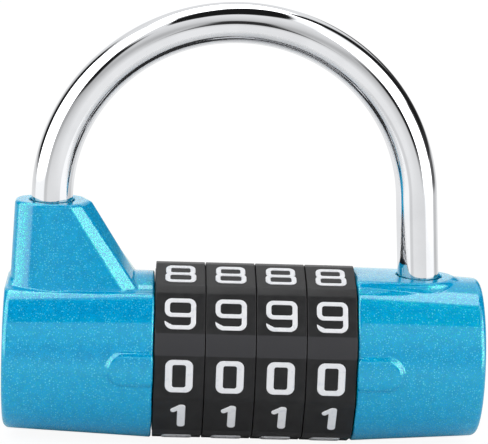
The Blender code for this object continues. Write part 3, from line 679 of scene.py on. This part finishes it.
def roundBox(u, v, middle, half, radius):
    # distance to a box with round corners
    a, b = np.abs(u - middle[0]) - half[0] + radius, np.abs(v - middle[1]) - half[1] + radius
    return np.hypot(np.maximum(a, 0), np.maximum(b, 0)) + np.minimum(np.maximum(a, b), 0) - radius


def loop(u, v, middle, half, radius, upright=numeral["upright"], level=numeral["level"]):
    # a rounded box less a smaller one: upright and level are the widths of its strokes
    hole = (half[0] - upright, half[1] - level)
    inner = roundBox(u, v, middle, hole, max(radius - level, numeral["leastRound"]))
    return both(roundBox(u, v, middle, half, radius), -inner)


def stroke(u, v, start, end, half):
    # distance to a bar with round ends
    du, dv = end[0] - start[0], end[1] - start[1]
    share = np.clip(((u - start[0]) * du + (v - start[1]) * dv) / (du * du + dv * dv), 0, 1)
    return np.hypot(u - start[0] - share * du, v - start[1] - share * dv) - half


def digitOutline(digit, u, v):
    # distance to a digit's outline, from rounded loops and bars; u runs to the right and v up from its middle
    tall, wide, opening = numeral["tall"], numeral["wide"], numeral["opening"]
    half = numeral["level"] / 2 + numeral["barExtra"]
    top, side = tall - half, wide - half  # middle lines of the outer strokes
    upper = loop(u, v, (0, tall - numeral["upperHalf"]), (wide - numeral["upperInset"], numeral["upperHalf"]),
                 numeral["upperRound"])
    lower = loop(u, v, (0, numeral["lowerHalf"] - tall), (wide, numeral["lowerHalf"]), numeral["lowerRound"])
    if digit == 0:
        return loop(u, v, (0, 0.05), (2.2, tall), 1.15, upright=1.14, level=0.84)
    if digit == 1:
        stem = roundBox(u, v, (0.55, 0), (0.64, tall - 0.06), 0.5)
        return np.minimum(stem, stroke(u, v, (0.4, tall - 0.55), (-0.75, 1.3), half + 0.05))
    if digit == 2:
        hook, foot = both(upper, np.minimum(-u, opening - v)), both(lower, np.minimum(u, v + opening))
        return np.minimum(hook, foot)
    if digit == 3:
        right = -u - 0.9
        hook, foot = both(upper, np.minimum(right, opening - v)), both(lower, np.minimum(right, v + opening))
        return np.minimum(hook, foot)
    if digit == 4:
        knee, bar = (-side, -0.9), (side, -0.9)
        bars = np.minimum(stroke(u, v, (0.9, top), knee, half), stroke(u, v, knee, bar, half))
        return np.minimum(bars, stroke(u, v, (0.95, top), (0.95, -top), half))
    if digit == 5:
        return digitOutline(2, -u, v)
    if digit == 6:
        return digitOutline(9, -u, -v)
    if digit == 7:
        bar = stroke(u, v, (-side, top), (side, top), half)
        return np.minimum(bar, stroke(u, v, (side, top), (-0.4, -top), half))
    if digit == 8:
        return np.minimum(upper, lower)
    ring = loop(u, v, (0, tall - 1.62), (wide, 1.62), 1.15)
    tail = loop(u, v, (0, 0), (wide, tall), 1.3)
    kept = np.minimum(-1.6 - u, 0.51 * u + 0.86 * v + 2.33)  # the tail ends in a slant at the left
    return np.minimum(ring, both(tail, np.maximum(kept, v - 0.5)))


def digitMesh(digit):
    # the outline raised to a plate with rounded top edges
    def plate(u, v, w):
        raised = both(digitOutline(digit, u, v), w - numeral["height"], numeral["round"])
        return both(raised, -numeral["sink"] - w)
    wide, tall = numeral["box"]
    low, high = (-wide, -tall, -numeral["sink"]), (wide, tall, numeral["height"])
    return fieldSurface(plate, low, high, numeral["step"])


digits = [digitMesh(digit) for digit in range(10)]


def numeralPiece(number):
    # each digit stands on its flat, its top towards the digit before it
    middle = dialStart(number) + dial["width"] / 2
    allPoints, allFaces, allNormals, count = [], [], [], 0
    for (points, quads, normals), down in zip(digits, np.radians(flatAngles())):
        sine, cosine = math.sin(down), math.cos(down)
        basis = np.array([[1, 0, 0], [0, -sine, cosine], [0, -cosine, -sine]])
        allPoints.append((points + (0, 0, dial["flatReach"])) @ basis + (middle, 0, 0))
        allNormals.append(normals @ basis)
        allFaces.append(quads + count)
        count += len(points)
    return addPiece(f"numerals{number + 1}", np.concatenate(allPoints), [np.concatenate(allFaces)],
                    materials["numeralWhite"], f"dial_set_{number + 1}", np.concatenate(allNormals),
                    slot="numeral_white")


for number in range(dial["count"]):
    dialPiece(number)
    numeralPiece(number)


# Spring and pin, then finishes for the inner pieces that keep their CAD shape

spring = {"start": 28.885, "end": 37.465, "wire": 0.3, "radius": 2.2, "turns": 6, "perTurn": 40, "sides": 12,
          "travel": 2.4}


def boltSpring():
    # a circle carried along a helix about the dial axis
    first, last, radius = spring["start"] + spring["wire"], spring["end"] - spring["wire"], spring["radius"]
    turn = np.linspace(0, 2 * np.pi * spring["turns"], spring["turns"] * spring["perTurn"] + 1)
    x = first + (last - first) * turn / turn[-1]
    climb = (last - first) / turn[-1]
    away = np.stack([0 * turn, np.cos(turn), np.sin(turn)], -1)
    along = np.stack([climb + 0 * turn, -radius * np.sin(turn), radius * np.cos(turn)], -1)
    along = along / np.linalg.norm(along, axis=1)[:, None]
    side = np.cross(along, away)
    centre = np.stack([x, radius * away[:, 1], radius * away[:, 2]], -1)
    angle = np.linspace(0, 2 * np.pi, spring["sides"], endpoint=False)[None, :, None]
    section = np.cos(angle) * away[:, None] + np.sin(angle) * side[:, None]
    points = centre[:, None] + spring["wire"] * section
    piece = addPiece("boltSpring", np.concatenate([points.reshape(-1, 3), centre[[0, -1]]]),
                     tubeFaces(len(turn), spring["sides"]), materials["steel"], "lock_body",
                     replaced=["bolt_spring"], slot="steel")
    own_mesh(piece)


boltSpring()
pin = {"start": -4.44, "end": 6.16, "radius": 1.0, "rims": (0.25, 0.25), "rimSteps": (6, 6), "sides": 48}


def heelPin():
    # a rod made along x, turned to lie along y in the pin's hole
    points, faces = rodMesh(pin)
    points = points[:, [1, 0, 2]] + (pinHole["x"], 0, pinHole["height"])
    addPiece("heelPin", points, faces, materials["steel"], "lock_body", replaced=["heel_pin"], slot="steel")


heelPin()
for node, finish in (("core_tube", "brass"), ("core_nut", "brass"), ("code_sleeve", "brass"),
                     ("click_washer", "steel"), ("locking_bolt", "steel")):
    for name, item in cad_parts.items():
        if name.startswith(node):
            item.data.materials.clear()
            item.data.materials.append(materials[finish])
print("pieces made")


# Floor, world and lamp

studio = {"floorHalf": 4.0, "floorColour": (0.80, 0.80, 0.80, 1), "cameraWhite": 0.86, "white": 1.08,
          "mirrorShape": (0.45, 1, 0), "near": 0.035, "far": 0.075}


def lightPath(wire, *names):
    return [wire.add("ShaderNodeLightPath", output=name) for name in names]


def addFloor():
    # pale floor under the dials; to the camera it is mostly white, and the rest keeps the shadow;
    # in mirrors it shows near the lock, and the tent's own floor beyond
    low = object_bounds()[0].z
    h = studio["floorHalf"]
    mesh = bpy.data.meshes.new("floor")
    mesh.from_pydata([(-h, -h, low), (h, -h, low), (h, h, low), (-h, h, low)], [], [(0, 1, 2, 3)])
    material = bpy.data.materials.new("floorPale")
    material.use_nodes = True
    tree = material.node_tree
    tree.nodes.clear()
    wire = Wire(tree)
    seen, mirrored = lightPath(wire, "Is Camera Ray", "Is Glossy Ray")
    matt = wire.add("ShaderNodeBsdfDiffuse", {}, {"Color": studio["floorColour"]})
    white = wire.add("ShaderNodeEmission", {}, {"Color": (1, 1, 1, 1), "Strength": studio["white"]})
    mixed = wire.add("ShaderNodeMixShader", {}, {0: seen * studio["cameraWhite"], 1: matt, 2: white})
    where = wire.add("ShaderNodeTexCoord", output="Object")
    spread = wire.add("ShaderNodeVectorMath", {"operation": "MULTIPLY"}, {0: where, 1: studio["mirrorShape"]})
    apart = wire.add("ShaderNodeVectorMath", {"operation": "LENGTH"}, {0: spread}, "Value")
    clear = wire.add("ShaderNodeBsdfTransparent")
    gone = mirrored * apart.rise(studio["near"], studio["far"])
    surface = wire.add("ShaderNodeMixShader", {}, {0: gone, 1: mixed, 2: clear})
    wire.add("ShaderNodeOutputMaterial", {}, {0: surface})
    mesh.materials.append(material)
    floor = bpy.data.objects.new("floor", mesh)
    bpy.context.scene.collection.objects.link(floor)


addFloor()

# Light tent by direction: degrees round from the front (+ right) and degrees up. White boxes stand left,
# right and behind overhead. A dark gap lies over the front sheet, and shades show in mirrors alone: dark
# strips beside the boxes, and the small patch of the camera.
tent = {"front": [(-90, 0.88), (-50, 0.92), (-15, 0.92), (-4, 0.74), (8, 0.52), (14, 0.52), (25, 0.72),
                  (45, 0.88), (90, 0.9)],
        "behind": [(-90, 0.88), (-4, 0.88), (2, 1.2), (22, 1.2), (30, 0.85), (90, 0.85)],
        "behindFrom": (130, 170), "dark": 0.012, "firstBounce": (1.4, 1.6),
        "gapEdge": [(-180, 90), (-110, 90), (-90, 73), (-75, 69), (-60, 66), (-45, 62), (-35, 54), (-27, 46),
                    (-12, 46), (0, 49), (12, 51), (22, 54), (30, 56), (40, 61), (60, 68), (75, 71), (90, 72),
                    (120, 75), (180, 90)],
        "gapDark": [(-180, 0), (-84, 0), (-64, 0.5), (-44, 1), (92, 1), (106, 0.8), (122, 0), (180, 0)],
        "gapTop": 85.7, "gapLean": 46.7, "gapLeanEnds": (-0.1, 0.2), "gapSoft": 2,
        "overhead": {"round": (95, 100), "up": (58, 62), "light": 1.3, "mirror": 4.4},
        "boxes": [{"round": (-107, -46), "up": (-60, 0), "soft": (2, 3), "light": 1.0, "mirror": 1.08},
                  {"round": (44, 100), "up": (-60, 0), "soft": (2, 3), "light": 1.2, "mirror": 1.12},
                  {"round": (-107, -44), "up": (-3, 95), "soft": (2, 3), "light": 1.0, "mirror": 3.4},
                  {"round": (37, 98), "up": (36, 95), "soft": (3, 6), "light": 1.2, "mirror": 1.2},
                  {"round": (37, 98), "up": (-5, 44), "soft": (3, 4), "light": 1.2, "mirror": 4.6}],
        "shades": [{"round": (-43, -27), "up": (13, 36), "soft": (3, 4), "dark": 1.0},
                   {"round": (-45, -29), "up": (-40, 12), "soft": (5, 5), "dark": 0.2},
                   {"round": (26, 40), "up": (-4, 20), "soft": (3, 5), "dark": 1.0},
                   {"round": (-1, 6), "up": (-4, 13), "soft": (1.5, 2), "dark": 0.97},
                   {"round": (-131, -107), "up": (-1, 42), "soft": (4, 4), "dark": 1.0},
                   {"round": (103, 137), "up": (8, 70), "soft": (5, 3), "dark": 1.0},
                   {"round": (90, 166), "up": (2, 24), "soft": (5, 3), "dark": 0.96},
                   {"round": (92, 128), "up": (-6, 5), "soft": (8, 3), "dark": 0.85},
                   {"round": (96, 128), "up": (-40, -4), "soft": (8, 4), "dark": 0.25}]}


def addWorld():
    # the tent's pattern; the camera itself sees plain white
    world = bpy.data.worlds.new("studio")
    bpy.context.scene.world = world
    world.use_nodes = True
    tree = world.node_tree
    tree.nodes.clear()
    wire = Wire(tree)
    way = wire.add("ShaderNodeTexCoord", output="Generated")
    x, y, z = (wire.add("ShaderNodeSeparateXYZ", {}, {0: way}, k) for k in "XYZ")
    turn = wire.sum("ARCTAN2", x, y * -1) * inDegrees
    up = wire.sum("ARCSINE", z) * inDegrees
    aside = wire.sum("ABSOLUTE", turn)
    seen, mirrored, bounces = lightPath(wire, "Is Camera Ray", "Is Glossy Ray", "Glossy Depth")
    # first reflections see a box's mirror level, later ones its plain level
    first = mirrored * (1 - bounces.rise(*tent["firstBounce"]))

    def layout(name, angle, scale):
        # a ramp over the full circle, its values held as shares of scale
        stops = [(at / 360 + 0.5, (value / scale,) * 3) for at, value in tent[name]]
        return wire.add("ShaderNodeValToRGB", {"stops": stops}, {0: angle * (1 / 360) + 0.5}) * scale

    def patch(area):
        return turn.within(*area["round"], area["soft"][0]) * up.within(*area["up"], area["soft"][1])

    def box(area):
        return area["light"] + first * (area["mirror"] - area["light"])

    level = layout("front", up, 1)
    level = level + aside.rise(*tent["behindFrom"]) * (layout("behind", up, 1.5) - level)
    panel = tent["overhead"]
    level = level + aside.rise(*panel["round"]) * up.rise(*panel["up"]) * (box(panel) - level)
    for area in tent["boxes"]:
        level = level + patch(area) * (box(area) - level)
    soft = tent["gapSoft"]
    edge = layout("gapEdge", turn, 90)
    over = wire.sum("ARCTAN2", z, y * -1) * inDegrees
    least, most = tent["gapLeanEnds"]
    top = tent["gapTop"] + tent["gapLean"] * wire.sum("MINIMUM", wire.sum("MAXIMUM", x, least), most)
    under = 1 - over.rise(top - soft, top + soft)
    dark = up.rise(edge - soft, edge + soft) * layout("gapDark", turn, 1) * under
    for area in tent["shades"]:
        dark = wire.sum("MAXIMUM", dark, patch(area) * mirrored * area["dark"])
    level = level + dark * (tent["dark"] - level)
    level = level * (1 - seen) + seen
    shade = wire.add("ShaderNodeBackground", {}, {"Color": (1, 1, 1, 1), "Strength": level})
    wire.add("ShaderNodeOutputWorld", {}, {0: shade})


addWorld()
keyPanel = {"at": (-220, -420, 380), "aim": (0, 0, 15), "size": 400, "watts": 0.5}


def addLamp():
    # soft panel turned to the dials, kept out of the mirror of the chrome
    data = bpy.data.lights.new("keyPanel", "AREA")
    data.shape = "DISK"
    data.size = keyPanel["size"] * millimetre
    data.energy = keyPanel["watts"]
    lamp = bpy.data.objects.new("keyPanel", data)
    lamp.location = place(keyPanel["at"])
    lamp.rotation_mode = "QUATERNION"
    lamp.rotation_quaternion = (Vector(place(keyPanel["aim"])) - lamp.location).to_track_quat("-Z", "Y")
    lamp.visible_glossy = False
    bpy.context.scene.collection.objects.link(lamp)


addLamp()
print("studio set")
